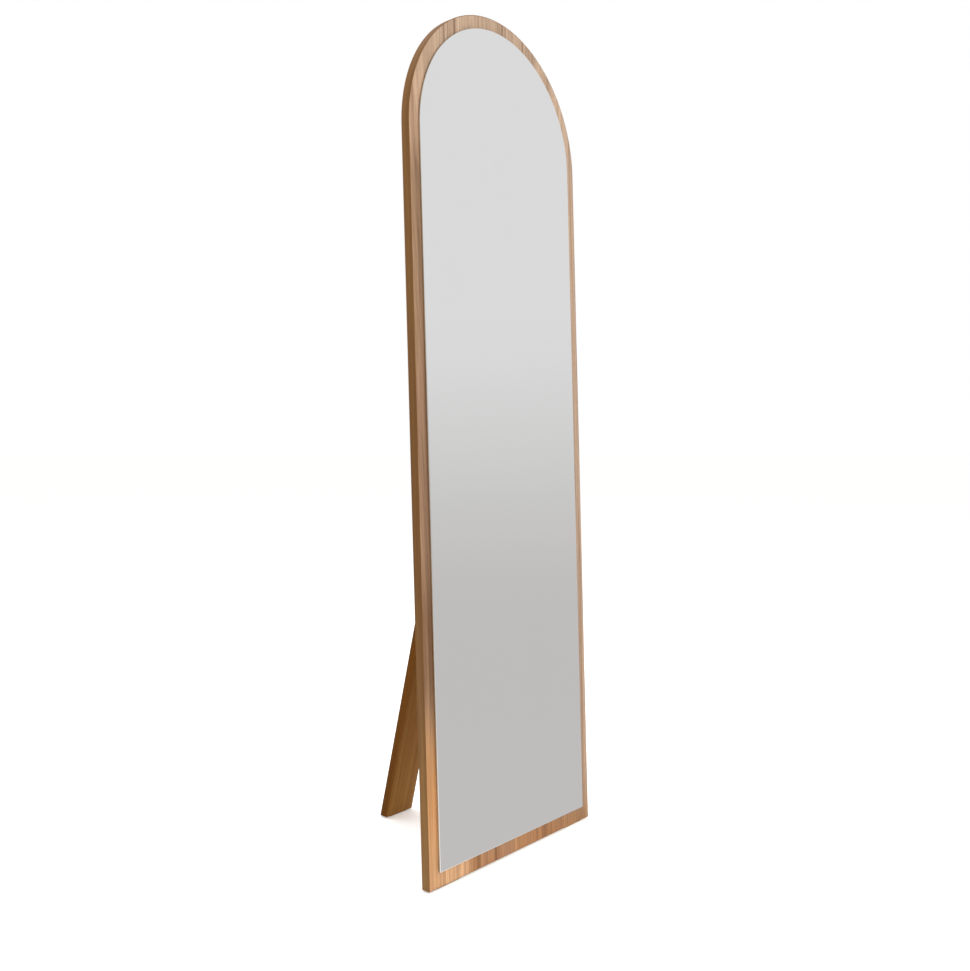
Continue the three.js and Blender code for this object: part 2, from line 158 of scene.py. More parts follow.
# The end is cut parallel to the floor, so its front corner is higher up the leg than its back.
LEG_BOTTOM = local_box("leg_edge_band", LEG)[0].z + LEG_THICKNESS * math.tan(LEG_TILT)
BAR_LOW = local_box("stay_bar", STAY)[0].z + STAY_HALF  # centre of the bar's lower end


# ---------- solids ----------
class Solid:
    """Points and faces of closed forms, gathered ring by ring."""

    def __init__(self):
        self.points, self.faces, self.finishes, self.flats, self.grain = [], [], [], [], []

    def ring(self, points, grain=None):
        """Numbers of new points; grain gives each one's place in the veneer if it differs."""
        first = len(self.points)
        self.points += [Vector(p) for p in points]
        self.grain += grain if grain else [Vector(p) for p in points]
        return list(range(first, len(self.points)))

    def face(self, corners, finish=0, flat=False):
        self.faces.append(corners)
        self.finishes.append(finish)
        self.flats.append(flat)

    def wall(self, one, two, finish=0, flat=False):
        """Faces between two rings of as many points."""
        for i in range(len(one)):
            j = (i + 1) % len(one)
            self.face([one[i], one[j], two[j], two[i]], finish, flat)

    def loft(self, rings, flat=False):
        """Walls through a row of rings, and a flat face on each end."""
        for one, two in zip(rings, rings[1:]):
            self.wall(one, two, flat=flat)
        self.face(rings[0], flat=True)
        self.face(rings[-1], flat=True)
        return self

    def mesh(self, name):
        mesh = bpy.data.meshes.new(name)
        mesh.from_pydata(self.points, [], self.faces)
        mesh.polygons.foreach_set("material_index", self.finishes)
        mesh.polygons.foreach_set("use_smooth", [not flat for flat in self.flats])
        layer = mesh.attributes.new("grain", "FLOAT_VECTOR", "POINT")
        layer.data.foreach_set("vector", [c for p in self.grain for c in p])
        edit = bmesh.new()
        edit.from_mesh(mesh)
        bmesh.ops.recalc_face_normals(edit, faces=edit.faces)
        edit.to_mesh(mesh)
        edit.free()
        mesh.set_sharp_from_angle(angle=math.radians(38))
        return mesh


def added(name, data):
    """A new object in the scene."""
    thing = bpy.data.objects.new(name, data)
    bpy.context.scene.collection.objects.link(thing)
    return thing


def meshed(form, name):
    return form.mesh(name) if isinstance(form, Solid) else form


def piece(name, form, place, body, slot, finishes, *nodes):
    """One shown piece in its frame, riding on its body and standing for its CAD nodes."""
    mesh = meshed(form, name)
    mesh.transform(place)
    thing = added(name, mesh)
    for finish in finishes:
        mesh.materials.append(finish)
    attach(thing, body)
    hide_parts(*nodes)
    return thing


def in_xz(u, v, depth):
    """A point of an outline that is drawn from the front or the back."""
    return (u, depth, v)


def in_yz(u, v, depth):
    """A point of an outline that is drawn from the side."""
    return (depth, u, v)


def rounded(front, back, radius, steps=5):
    """Insets and depths across a plate's edge, from front to back, with rounded arrises."""
    turns = [math.pi / 2 * i / steps for i in range(steps + 1)]
    levels = [(radius * (1 - math.sin(t)), front + radius * (1 - math.cos(t))) for t in turns]
    levels += [(radius * (1 - math.cos(t)), back - radius * (1 - math.sin(t))) for t in turns]
    return levels


def plate(outline, levels, axes=in_xz, finishes=(0, 0, 0), arris_walls=0):
    """A plate from an outline(inset) and its edge's levels; finishes are front, edge, back.

    The first arris_walls strips of the edge take the front's finish.
    """
    solid = Solid()
    rings = [solid.ring([axes(u, v, depth) for u, v in outline(inset)]) for inset, depth in levels]
    solid.face(rings[0], finishes[0], True)
    for number, (one, two) in enumerate(zip(rings, rings[1:])):
        solid.wall(one, two, finishes[0] if number < arris_walls else finishes[1])
    solid.face(rings[-1], finishes[2], True)
    return solid


def arc(centre, radius, start, end, steps):
    """Points on a circle, angles in radians."""
    turns = [start + (end - start) * i / steps for i in range(steps + 1)]
    return [(centre[0] + radius * math.cos(t), centre[1] + radius * math.sin(t)) for t in turns]


def arch(half, bottom):
    """Outline with a square foot and a half-round top."""
    def at(inset):
        points = arc((0, ARCH_CENTRE), half - inset, math.pi, 0, ARCH_STEPS)
        return [(inset - half, bottom + inset), *points, (half - inset, bottom + inset)]
    return at


def soft_rectangle(left, right, low, high, corner, steps=6):
    """Outline of a rectangle with rounded corners."""
    def at(inset):
        r = max(corner - inset, 0.02 * MM)  # never quite sharp
        x0, x1, y0, y1 = left + inset + r, right - inset - r, low + inset + r, high - inset - r
        points, quarter = [], math.pi / 2
        for i, centre in enumerate(((x1, y1), (x0, y1), (x0, y0), (x1, y0))):
            points += arc(centre, r, i * quarter, (i + 1) * quarter, steps)
        return points
    return at


def leg_outline(base):
    """The leg from the front, inset by a base: square top, eased bottom corners."""
    def at(more):
        inset = base + more
        side, top, low = LEG_HALF - inset, LEG_TOP - inset, LEG_BOTTOM + inset
        r = LEG_CORNER - inset
        left = arc((r - side, low + r), r, math.pi, 1.5 * math.pi, 12)
        right = arc((side - r, low + r), r, 1.5 * math.pi, 2 * math.pi, 12)
        return [(side, top), (-side, top), *left, *right]
    return at


def slotted(radius, high, low):
    """Outline with round ends centred at two heights on u = 0."""
    def at(inset):
        r = radius - inset
        return arc((0, high), r, 0, math.pi, 20) + arc((0, low), r, math.pi, 2 * math.pi, 20)
    return at


def disc(centre, radius):
    """Outline of a circle."""
    def at(inset):
        last = 2 * math.pi * (1 - 1 / ROUND_STEPS)
        return arc(centre, radius - inset, 0, last, ROUND_STEPS - 1)
    return at


def lathe(profile, steps=ROUND_STEPS):
    """A round form along x from (radius, x) pairs; pairs of no radius are its ends."""
    solid = Solid()
    turns = [2 * math.pi * i / steps for i in range(steps)]
    rings = []
    for radius, x in profile:
        if radius == 0:
            rings.append(solid.ring([(x, 0, 0)]))
        else:
            circle = [(x, radius * math.cos(t), radius * math.sin(t)) for t in turns]
            rings.append(solid.ring(circle))
    for one, two in zip(rings, rings[1:]):
        if len(one) == 1 or len(two) == 1:
            tip, rim = (one[0], two) if len(one) == 1 else (two[0], one)
            for i in range(steps):
                solid.face([tip, rim[i], rim[(i + 1) % steps]])
        else:
            solid.wall(one, two)
    if len(rings[0]) > 1:  # a tube: close it on itself
        solid.wall(rings[-1], rings[0])
    return solid


def combined(name, base, others, operation):
    """A solid or a mesh, joined with or cut by other solids."""
    temporary = []
    thing = added(name, meshed(base, name))
    for solid in others:
        other = added(name + "_other", solid.mesh(name + "_other"))
        modifier = thing.modifiers.new("combine", "BOOLEAN")
        modifier.operation = operation
        modifier.solver = "EXACT"
        modifier.object = other
        temporary.append(other)
    bpy.context.view_layer.update()
    depsgraph = bpy.context.evaluated_depsgraph_get()
    result = bpy.data.meshes.new_from_object(thing.evaluated_get(depsgraph))
    for other in [*temporary, thing]:
        bpy.data.objects.remove(other)
    result.name = name
    result.polygons.foreach_set("use_smooth", [True] * len(result.polygons))
    result.set_sharp_from_angle(angle=math.radians(30))
    return result


def slanted(solid):
    """The leg's solid with its bottom end cut parallel to the floor."""
    for point in solid.points:
        if point.z < LEG_BOTTOM + 2 * LEG_CORNER:
            point.z -= (point.y - LEG_FRONT) * math.tan(LEG_TILT)
    return solid


def moved(solid, matrix):
    """The solid, put somewhere else in its frame."""
    solid.points = [matrix @ p for p in solid.points]
    return solid


def at_panel(x, y, z):
    """The panel's frame, shifted to a place in it."""
    return PANEL @ Matrix.Translation((x, y, z))


# ---------- finishes ----------
def srgb(red, green, blue):
    """A linear colour from screen values of 0 to 255."""
    def linear(value):
        share = value / 255
        return share / 12.92 if share <= 0.04045 else ((share + 0.055) / 1.055) ** 2.4
    return (linear(red), linear(green), linear(blue), 1)


class Nodes:
    """The node tree of a material or a world, under construction."""

    def __init__(self, owner):
        owner.use_nodes = True
        self.tree = owner.node_tree
        self.tree.nodes.clear()

    def node(self, kind, **settings):
        node = self.tree.nodes.new(kind)
        for key, value in settings.items():
            setattr(node, key, value)
        return node

    def give(self, target, value):
        if isinstance(value, bpy.types.NodeSocket):
            self.tree.links.new(value, target)
        else:
            target.default_value = value

    def fed(self, kind, *values, **settings):
        """The first output of a new node whose inputs are given these values in turn."""
        node = self.node(kind, **settings)
        for target, value in zip(node.inputs, values):
            self.give(target, value)
        return node.outputs[0]


class Material(Nodes):
    """A procedural material. Its noises lie in the object's own coordinates, or, with grain,
    across, through and along the grain of each strip; both are in metres.
    """

    def __init__(self, name, grain=False):
        self.material = bpy.data.materials.new(name)
        super().__init__(self.material)
        self.shader = self.node("ShaderNodeBsdfPrincipled")
        output = self.node("ShaderNodeOutputMaterial")
        self.give(output.inputs["Surface"], self.shader.outputs["BSDF"])
        if grain:
            self.at = self.node("ShaderNodeAttribute", attribute_name="grain").outputs["Vector"]
        else:
            self.at = self.node("ShaderNodeTexCoord").outputs["Object"]

    def set(self, **values):
        """Gives the shader's inputs their values, each by its name in lower case."""
        inputs = {socket.name.lower().replace(" ", "_"): socket for socket in self.shader.inputs}
        for name, value in values.items():
            self.give(inputs[name], value)

    def math(self, operation, *values):
        return self.fed("ShaderNodeMath", *values, operation=operation)

    def times(self, one, two, plus=0.0):
        return self.math("MULTIPLY_ADD", one, two, plus)

    def minus(self, one, two):
        return self.math("SUBTRACT", one, two)

    def apart(self, one, two):
        """How far two values are apart."""
        return self.math("ABSOLUTE", self.minus(one, two))

    def length(self, one, two):
        """The length of a step with two parts at right angles."""
        return self.math("SQRT", self.times(one, one, self.times(two, two)))

    def noise(self, size, detail=3.0, roughness=0.5, shift=(0, 0, 0), distortion=0.0):
        """Noise from 0 to 1 whose features have the given size in metres along each axis."""
        shrink = tuple(1 / s for s in size)
        place = self.fed("ShaderNodeVectorMath", self.at, shrink, shift, operation="MULTIPLY_ADD")
        node = self.node("ShaderNodeTexNoise", noise_dimensions="3D")
        for name, value in (("Vector", place), ("Scale", 1.0), ("Detail", detail),
                            ("Roughness", roughness), ("Distortion", distortion)):
            self.give(node.inputs[name], value)
        return node.outputs["Fac"]

    def remap(self, value, low, high, to_low=0.0, to_high=1.0, smooth=True):
        return self.fed("ShaderNodeMapRange", value, low, high, to_low, to_high, clamp=True,
                        interpolation_type="SMOOTHSTEP" if smooth else "LINEAR")

    def between(self, value, lowest, highest, fade):
        """1 between two limits and 0 beyond them, fading over them."""
        return self.times(self.remap(value, lowest - fade, lowest + fade),
                          self.remap(value, highest + fade, highest - fade))

    def mix(self, share, one, two, blend="MIX"):
        node = self.node("ShaderNodeMix", data_type="RGBA", blend_type=blend)
        self.give(node.inputs["Factor"], share)
        for name, colour in (("A", one), ("B", two)):
            self.give([s for s in node.inputs if s.name == name and s.type == "RGBA"][0], colour)
        return [s for s in node.outputs if s.type == "RGBA"][0]

    def toned(self, share, colour, tone):
        """The colour, multiplied by a tone where share is 1."""
        return self.mix(share, colour, self.mix(1.0, colour, (*tone, 1), "MULTIPLY"))

    def bumped(self, height, distance, strength=1.0):
        """The finished material, with a relief as high as distance in metres."""
        node = self.node("ShaderNodeBump")
        for name, value in (("Strength", strength), ("Distance", distance), ("Height", height)):
            self.give(node.inputs[name], value)
        self.set(normal=node.outputs["Normal"])
        return self.material


GRAIN_WANDER = 0.02               # how far the grain strays sideways
STREAK_FADE = 0.08                # half the length over which a streak ends
VENEER_LEAF = 0.22                # width of one sawn leaf of veneer
HEART_DEPTH = 0.035               # sheet to the trunk's heart, at the foot of a leaf
TRUNK_TAPER = 0.05
YEAR = 0.0048                     # width of one growth ring


def arched_figure(mat, x, z, broad, middle, seed):
    """Growth rings cut into tall arches, on leaves sawn through a slightly tapered trunk.

    Each leaf has its heart in a place of its own.
    """
    leaves = mat.times(x, 1 / VENEER_LEAF, 0.5 + seed)
    own = mat.math("SINE", mat.times(mat.math("FLOOR", leaves), 2.4))
    sheet = mat.minus(mat.math("FRACT", leaves), 0.5)
    sheet = mat.times(mat.times(own, 0.16, sheet), VENEER_LEAF)
    heart = mat.times(own, 0.025, mat.times(z, TRUNK_TAPER, HEART_DEPTH))
    ring = mat.times(middle, 0.0011, mat.length(sheet, heart))
    ring = mat.times(broad, 0.011, ring)
    year = mat.math("FRACT", mat.times(ring, 1 / YEAR))
    late_wood, year_end = mat.remap(year, 0.35, 0.92), mat.remap(year, 1.0, 0.9)
    return mat.times(late_wood, year_end)


def wood(name, light, dark, pore, streaks=(), rings=0.0, patches=(), margins=(), gloss=0.3,
         seed=0.0):
    """Satin wood veneer with its grain up the piece. Places and widths are in metres.

    streaks are groups of darker lines: (lowest z, highest z, lines), each line being
    (x, half width, strength). rings is the strength of the arched figure. patches of another
    tone are (tone, x, z, reach x, reach z). margins are soft upright bands of another tone:
    (tone, x, reach, lowest z, highest z, fade). Callers use patches and margins for painted
    light and shade as well as for the wood's own tone. seed picks the part of the noise.
    """
    mat = Material(name, grain=True)
    split = mat.node("ShaderNodeSeparateXYZ")
    mat.give(split.inputs[0], mat.at)
    x, y, z = split.outputs
    # Slow wander of the grain sideways, so that no line is ruler straight.
    wander = mat.noise((0.12, 0.12, 0.55), 2.0, 0.5, (seed, 3.1, 0.7))
    bent_x = mat.times(mat.minus(wander, 0.5), GRAIN_WANDER, x)
    mat.at = mat.fed("ShaderNodeCombineXYZ", bent_x, y, z)

    # The grain, from broad bands down to single fibres.
    broad = mat.noise((0.028, 0.06, 1.1), 2.0, 0.5, (seed + 7.3, 0, 0))
    middle = mat.noise((0.0075, 0.02, 0.5), 3.0, 0.55, (seed + 1.9, 5, 0))
    fine = mat.noise((0.0021, 0.006, 0.16), 3.0, 0.6, (seed + 4.4, 9, 2))
    hair = mat.noise((0.0007, 0.002, 0.03), 2.0, 0.6, (seed + 2.2, 1, 6))
    depth = mat.times(mat.remap(broad, 0.3, 0.7), 0.34)
    depth = mat.times(mat.remap(middle, 0.32, 0.68), 0.34, depth)
    depth = mat.times(mat.remap(fine, 0.3, 0.7), 0.24, depth)
    depth = mat.times(mat.remap(hair, 0.3, 0.7), 0.12, depth)
    if rings:
        figure = arched_figure(mat, x, z, broad, middle, seed)
        depth = mat.times(figure, rings, mat.times(depth, 1 - 0.5 * rings))
    for lowest, highest, lines in streaks:
        ends = mat.between(z, lowest, highest, STREAK_FADE)
        for middle_x, half, strength in lines:
            shade = mat.remap(mat.apart(bent_x, middle_x), half, 0.0, 0.0, strength)
            depth = mat.times(shade, ends, depth)

    speck = mat.noise((0.00045, 0.0015, 0.011), 1.0, 0.5, (seed + 8.8, 2, 4))
    pores = mat.times(mat.remap(speck, 0.63, 0.72), mat.remap(middle, 0.35, 0.6, 0.25, 1.0))
    colour = mat.mix(mat.math("MINIMUM", depth, 1.0), light, dark)
    # Patches and margins: painted light and shade as well as the wood's own tones.
    for tone, at_x, at_z, reach_x, reach_z in patches:
        across = mat.times(mat.minus(x, at_x), 1 / reach_x)
        up = mat.times(mat.minus(z, at_z), 1 / reach_z)
        colour = mat.toned(mat.remap(mat.length(across, up), 1.0, 0.2), colour, tone)
    for tone, at_x, reach, lowest, highest, fade in margins:
        share = mat.times(mat.remap(mat.apart(x, at_x), reach, 0.2 * reach),
                          mat.between(z, lowest, highest, fade))
        colour = mat.toned(share, colour, tone)
    rough = mat.times(pores, 0.15, mat.remap(fine, 0.2, 0.8, 0.40, 0.52, False))
    mat.set(base_color=mat.mix(mat.times(pores, 0.42), colour, pore), roughness=rough,
            ior=1.45, specular_ior_level=gloss)
    relief = mat.minus(mat.times(fine, 0.5), pores)
    return mat.bumped(mat.times(hair, 0.3, relief), 0.00006, 0.8)


def mirror_silver():
    """Silvering seen through clear glass, with a wiped haze and a little dust."""
    mat = Material("mirror_silver")
    haze = mat.noise((0.16, 0.16, 0.22), 4.0, 0.55, (1.3, 0, 0))
    wipe = mat.noise((0.05, 0.05, 0.012), 3.0, 0.6, (0, 4.0, 2.0), 0.8)
    dust = mat.noise((0.0012,) * 3, 1.0, 0.5)
    film = mat.times(mat.remap(haze, 0.45, 0.8), mat.remap(wipe, 0.35, 0.8))
    colour = mat.mix(film, (0.905, 0.905, 0.905, 1), (0.895, 0.894, 0.892, 1))
    specks = mat.times(mat.remap(dust, 0.76, 0.8), 0.15)
    mat.set(base_color=mat.mix(specks, colour, (0.8, 0.8, 0.78, 1)), metallic=1.0,
            roughness=mat.times(film, 0.03, 0.012))
    return mat.material


def glass_edge():
    """The ground and polished edge."""
    mat = Material("glass_edge")
    grind = mat.noise((0.0006,) * 3, 2.0, 0.6)
    cloud = mat.noise((0.03,) * 3, 2.0, 0.5)
    mat.set(base_color=mat.mix(mat.remap(cloud, 0.3, 0.7), srgb(188, 171, 147),
                               srgb(172, 155, 132)),
            roughness=mat.remap(grind, 0.3, 0.7, 0.12, 0.3), ior=1.52, coat_weight=0.3,
            coat_roughness=0.08)
    return mat.bumped(grind, 0.00002, 0.5)


def back_paint():
    mat = Material("mirror_back_paint")
    mottle = mat.noise((0.02,) * 3, 4.0, 0.6)
    orange_peel = mat.noise((0.002,) * 3, 2.0, 0.5)
    mat.set(base_color=mat.mix(mottle, srgb(172, 174, 172), srgb(154, 156, 156)),
            roughness=mat.remap(mottle, 0.3, 0.7, 0.45, 0.6))
    return mat.bumped(orange_peel, 0.00003)


def pressed_metal(name, base, stain, roughness, lines_size):
    """Plated steel with fine rolling lines, faint stains and small dents in the sheen."""
    mat = Material(name)
    lines = mat.noise(lines_size, 2.0, 0.6)
    spangle = mat.noise((0.004, 0.004, 0.005), 3.0, 0.6, (3, 1, 2))
    stains = mat.noise((0.011, 0.011, 0.014), 4.0, 0.65, (7, 2, 5))
    colour = mat.mix(mat.remap(spangle, 0.35, 0.7), base, mat.mix(0.5, base, stain))
    rough = mat.times(lines, 0.16, roughness - 0.08)
    mat.set(base_color=mat.mix(mat.remap(stains, 0.56, 0.78), colour, stain), metallic=1.0,
            roughness=mat.times(mat.remap(stains, 0.5, 0.8), 0.12, rough))
    return mat.bumped(mat.times(spangle, 0.6, lines), 0.00002, 0.6)


def felt_finish():
    mat = Material("pressed_felt")
    fibres = mat.noise((0.0016, 0.0006, 0.0005), 4.0, 0.75, (2, 8, 1), 2.4)
    tufts = mat.noise((0.004, 0.003, 0.004), 3.0, 0.6)
    colour = mat.mix(mat.remap(fibres, 0.3, 0.7), srgb(158, 142, 118), srgb(210, 197, 176))
    mat.set(base_color=mat.mix(mat.times(mat.remap(tufts, 0.4, 0.7), 0.4), colour,
                               srgb(146, 130, 108)),
            roughness=mat.remap(fibres, 0.2, 0.8, 0.85, 1.0), sheen_weight=0.35,
            sheen_roughness=0.5)
    return mat.bumped(fibres, 0.0007)


def foam_finish():
    mat = Material("closed_cell_foam")
    cells = mat.node("ShaderNodeTexVoronoi", feature="F1")
    mat.give(cells.inputs["Vector"], mat.at)
    cells.inputs["Scale"].default_value = 2200  # cells per metre
    cell = cells.outputs["Distance"]
    tone = mat.noise((0.03,) * 3, 3.0, 0.5)
    colour = mat.mix(tone, srgb(240, 238, 230), srgb(226, 222, 210))
    mat.set(base_color=mat.mix(mat.remap(cell, 0.2, 0.7, 0.0, 0.25), colour,
                               srgb(188, 184, 172)),
            roughness=mat.remap(cell, 0.1, 0.7, 0.75, 0.95))
    return mat.bumped(cell, 0.0001, 0.6)


# ---------- veneers: what each figure means is told at wood() ----------
FAR = 9.0                         # past either end of every piece
FOOT_LINES_TOP = 0.2
UPPER_LINES = (
    (-0.150, 0.0045, 0.7), (-0.1385, 0.003, 0.55), (-0.121, 0.004, 0.6), (-0.106, 0.003, 0.3),
    (-0.062, 0.003, 0.25), (0.02, 0.004, 0.3), (0.085, 0.003, 0.4), (0.118, 0.004, 0.35),
    (0.17, 0.004, 0.3), (0.239, 0.002, 0.25))
FOOT_LINES = (
    (-0.150, 0.003, 0.25), (-0.116, 0.008, 0.32), (-0.090, 0.007, 0.3), (-0.066, 0.008, 0.25),
    (0.098, 0.012, 0.14), (0.118, 0.012, 0.25), (0.188, 0.01, 0.15))
FRONT_STREAKS = ((FOOT_LINES_TOP, FAR, UPPER_LINES), (-FAR, FOOT_LINES_TOP, FOOT_LINES))
# Painted light and shade on the front: paler, whiter patches at the arch and the right stile
# are painted sheen, darker half way up the left stile is painted shade, and golden at its
# foot is a painted pool of warm light. Small patches along the foot give it a blotchy tone.
FRONT_TONES_AND_PAINTED_LIGHT = (
    ((1.16, 1.32, 1.55), 0.0, 1.62, 0.6, 0.5),
    ((1.3, 1.3, 1.35), -0.24, 1.38, 0.06, 0.12),
    ((0.85, 0.8, 0.8), -0.25, 0.68, 0.12, 0.36),
    ((0.62, 0.53, 0.44), -0.25, 0.43, 0.12, 0.19),
    ((1.42, 1.22, 0.95), -0.26, 0.0, 0.26, 0.4),
    ((1.0, 0.88, 0.7), -0.25, 0.2, 0.12, 0.16),
    ((1.08, 1.2, 1.42), 0.25, 0.85, 0.12, 0.9),
    ((1.15, 1.2, 1.3), 0.25, 0.2, 0.06, 0.22),
    ((1.42, 1.58, 1.8), -0.185, 0.01, 0.07, 0.05),
    ((1.0, 0.95, 0.8), -0.12, 0.01, 0.03, 0.05),
    ((0.93, 0.87, 0.76), -0.065, 0.0, 0.05, 0.06),
    ((1.1, 0.88, 0.76), 0.08, 0.0, 0.3, 0.06),
    ((1.12, 1.1, 0.92), 0.01, 0.01, 0.04, 0.05),
    ((1.0, 0.95, 0.74), 0.08, 0.01, 0.09, 0.06),
    ((0.95, 0.93, 0.74), 0.2, 0.0, 0.14, 0.05))
# Painted shade: a darker band on the wood beside the glass on the left, standing for its
# shadow; and a painted highlight: a paler line right against it, lightening the shaded slit
# under the glass.
PAINTED_SHADE_AND_LIGHT_BESIDE_GLASS = (
    ((0.68, 0.65, 0.63), -0.2275, 0.0135, 0.27, 1.34, 0.09),
    ((1.7, 1.65, 1.6), -0.2225, 0.006, 0.05, 1.36, 0.02))
# Painted light and shade on the side and arch band: paler at the foot of its left side, darker half
# way up that side.
EDGE_PAINTED_LIGHT_AND_SHADE = (
    ((1.28, 1.42, 1.6), 0.0, 0.0, 1.0, 0.42), ((0.8, 0.75, 0.62), 0.0, 0.7, 1.0, 0.38))


def worn_and_highlit_arrises(front, back):
    """Paler lines along a band's two arrises, from its foot upwards: partly wear where hands
    have rubbed, partly a painted highlight on the rounded arris.
    """
    return (((1.22, 1.2, 1.18), front - 0.6 * MM, 1.3 * MM, 0.0, FAR, 0.3),
            ((1.14, 1.14, 1.14), back - 0.5 * MM, 1.2 * MM, 0.0, FAR, 0.3))


# The front veneer is paler and pinker than the back's: its light tone partly holds a painted sheen
# of white light on the front face.
veneer_front = wood("veneer_front", srgb(190, 155, 122), srgb(118, 88, 64), srgb(88, 62, 42),
                    streaks=FRONT_STREAKS, patches=FRONT_TONES_AND_PAINTED_LIGHT, margins=PAINTED_SHADE_AND_LIGHT_BESIDE_GLASS,
                    rings=0.12, seed=0.37)
veneer_back = wood("veneer_back", srgb(170, 124, 72), srgb(116, 78, 40), srgb(84, 54, 28),
                   rings=0.5, seed=0.11)
# The leg's front veneer is darker and more saturated than its back, veneer_leg_back: painted shade
# of the panel standing over the leg's front.
veneer_leg = wood("veneer_leg", srgb(160, 113, 51), srgb(119, 82, 34), srgb(88, 57, 24),
                  rings=0.3, gloss=0.08, seed=0.71)
veneer_leg_back = wood("veneer_leg_back", srgb(169, 122, 67), srgb(115, 77, 38), srgb(84, 54, 26),
                       rings=0.42, gloss=0.2, seed=0.71)
panel_edge = wood("panel_edge_band", srgb(136, 95, 46), srgb(94, 60, 26), srgb(70, 46, 22),
                  patches=EDGE_PAINTED_LIGHT_AND_SHADE, margins=worn_and_highlit_arrises(-PANEL_THICKNESS, 0), seed=0.53)
# The leg's edge band is darker and more saturated than the panel's: partly painted shade of the
# panel over the leg.
leg_edge = wood("leg_edge_band", srgb(124, 77, 22), srgb(87, 51, 13), srgb(62, 38, 12),
                margins=worn_and_highlit_arrises(LEG_FRONT, LEG_BACK), gloss=0.05, seed=0.93)
silver = mirror_silver()
edge_glass = glass_edge()
paint = back_paint()
zinc = pressed_metal("zinc_plate", (0.66, 0.67, 0.68, 1), (0.5, 0.5, 0.49, 1), 0.34,
                     (0.00035, 0.00035, 0.02))
steel = pressed_metal("steel_fastener", (0.58, 0.58, 0.59, 1), (0.4, 0.39, 0.38, 1), 0.3,
                      (0.0006,) * 3)
felt = felt_finish()
foam = foam_finish()


# ---------- panel ----------
def build_board():
    inset = BAND + SEAM
    board = plate(arch(PANEL_HALF - inset, inset), rounded(-PANEL_THICKNESS, 0, BOARD_ARRIS),
                  finishes=(0, 0, 1))
    piece("board", board, PANEL, "panel", "wood_face",
          [veneer_front, veneer_back], "panel_board")


def band_section(front, back):
    """Insets and depths round an edge band: outer arrises rounded, inner ones sharp."""
    levels = rounded(front, back, BAND_ARRIS, ARRIS_STEPS)
    return [(BAND, front), *levels, (BAND, back)]


def build_panel_bands():
    section = band_section(-PANEL_THICKNESS, 0)
    solid, rings = Solid(), []
    # Stations: a side and a height on the straights, no side and an angle on the arch.
    stations = [(-1, ARCH_CENTRE * i / STRAIGHT_STEPS) for i in range(STRAIGHT_STEPS)]
    stations += [(0, math.pi - math.pi * i / ARCH_STEPS) for i in range(ARCH_STEPS + 1)]
    stations += [(1, ARCH_CENTRE * (1 - i / STRAIGHT_STEPS)) for i in range(1, STRAIGHT_STEPS + 1)]
    for side, value in stations:
        ring, grain = [], []
        for inset, depth in section:
            r = PANEL_HALF - inset
            if side:
                u, v = side * r, value
                along = value if side < 0 else 2 * ARCH_CENTRE + math.pi * PANEL_HALF - value
            else:
                u, v = r * math.cos(value), ARCH_CENTRE + r * math.sin(value)
                along = ARCH_CENTRE + PANEL_HALF * (math.pi - value)
            ring.append((u, depth, v))
            grain.append(Vector((depth - inset, 0, along)))
        rings.append(solid.ring(ring, grain))
    piece("side_and_arch_band", solid.loft(rings), PANEL, "panel", "wood_edge", [panel_edge],
          "panel_side_and_arch_band")

    end = PANEL_HALF - BAND - SEAM
    other_veneer = 0.9  # keeps its grain unlike the sides'
    strip, rings = Solid(), []
    for x in [-end + 2 * end * i / BOTTOM_STEPS for i in range(BOTTOM_STEPS + 1)]:
        rings.append(strip.ring([(x, depth, inset) for inset, depth in section],
                                [Vector((depth - inset, other_veneer, x))
                                 for inset, depth in section]))
    piece("bottom_band", strip.loft(rings), PANEL, "panel", "wood_edge", [panel_edge],
          "panel_bottom_band")


def build_glass():
    """The glass: a shallow convex ground arris in front, then the upright edge."""
    front = GLASS_BACK - GLASS_THICKNESS
    levels = []
    for i in range(ARRIS_STEPS + 1):
        t = math.pi / 2 * i / ARRIS_STEPS
        levels.append((GLASS_ARRIS * (1 - math.sin(t)),
                       front + GLASS_ARRIS_DEPTH * (1 - math.cos(t))))
    back_arris = rounded(front, GLASS_BACK, GLASS_BACK_ARRIS)
    levels += back_arris[len(back_arris) // 2:]
    glass = plate(arch(GLASS_HALF, GLASS_BOTTOM), levels, finishes=(0, 1, 2),
                  arris_walls=ARRIS_STEPS)
    piece("mirror", glass, PANEL, "panel", "mirror", [silver, edge_glass, paint], "mirror_glass")


def foot_pad(name, node, place, body, front_inset, back_inset, slope):
    """A felt pad under a tilted edge: its underside lies on the floor, its rim is bulged.

    slope is how much its upper face falls per metre of depth.
    """
    low, high = local_box(node, place)
    shape = soft_rectangle(low.x, high.x, low.y + front_inset, high.y - back_inset, PAD_CORNER, 5)
    solid, rings = Solid(), []
    for share, inset in PAD_ROWS:
        ring = []
        for i, (u, v) in enumerate(shape(inset)):
            top = high.z - (v - low.y) * slope
            above = place @ Vector((u, v, top))
            under = place.inverted() @ Vector((above.x, above.y, 0.0))
            fuzz = PAD_FUZZ * math.sin(i * GOLDEN_ANGLE + share * 9)
            ring.append((u + fuzz, v + (under.y - v) * (1 - share),
                         under.z + (top - under.z) * share))
        rings.append(solid.ring(ring))
    pad = piece(name, solid.loft(rings), place, body, "felt", [felt], node)


def build_pads():
    for side in ("left", "right"):
        foot_pad(f"foot_pad_{side}", f"panel_foot_pad_{side}", PANEL, "panel", 0.1 * MM, 0.1 * MM,
                 0)
    foot_pad("leg_pad", "leg_foot_pad", LEG, "leg", 0.6 * MM, 0, math.tan(LEG_TILT))


